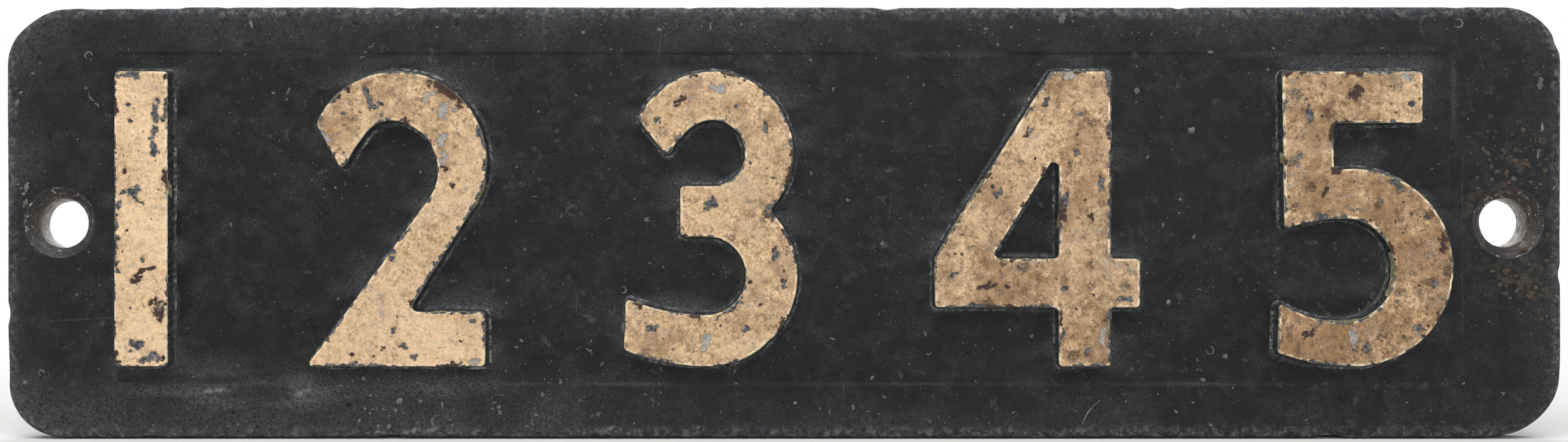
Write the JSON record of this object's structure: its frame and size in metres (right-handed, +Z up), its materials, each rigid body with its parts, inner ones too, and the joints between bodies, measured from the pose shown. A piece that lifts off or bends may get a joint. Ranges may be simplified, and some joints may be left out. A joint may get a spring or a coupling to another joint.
{
  "type": "locomotive number plate",
  "caption": "Rounded oblong cast-iron number plate with raised block numerals on a sunk panel and a bolt hole at each end.",
  "frame": {"origin": "on the flat back face, midway between the two bolt holes", "axes": "+X along the number as it is read, +Z up, +Y out of the back face, so the numerals face -Y"},
  "size_m": [0.5982, 0.0176, 0.1664],
  "materials": {
    "black_painted_iron": "old black gloss paint gone dull, over rough sand-cast iron, with dust, chips and rust at the holes",
    "cream_painted_iron": "aged cream paint on the faces, stained brown, cracked and chipped at the edges, with black walls"
  },
  "bodies": {
    "root": {"plate": "black_painted_iron", "numeral_one": "cream_painted_iron", "numeral_two": "cream_painted_iron", "numeral_three": "cream_painted_iron", "numeral_four": "cream_painted_iron", "numeral_five": "cream_painted_iron"}
  },
  "joints": []
}
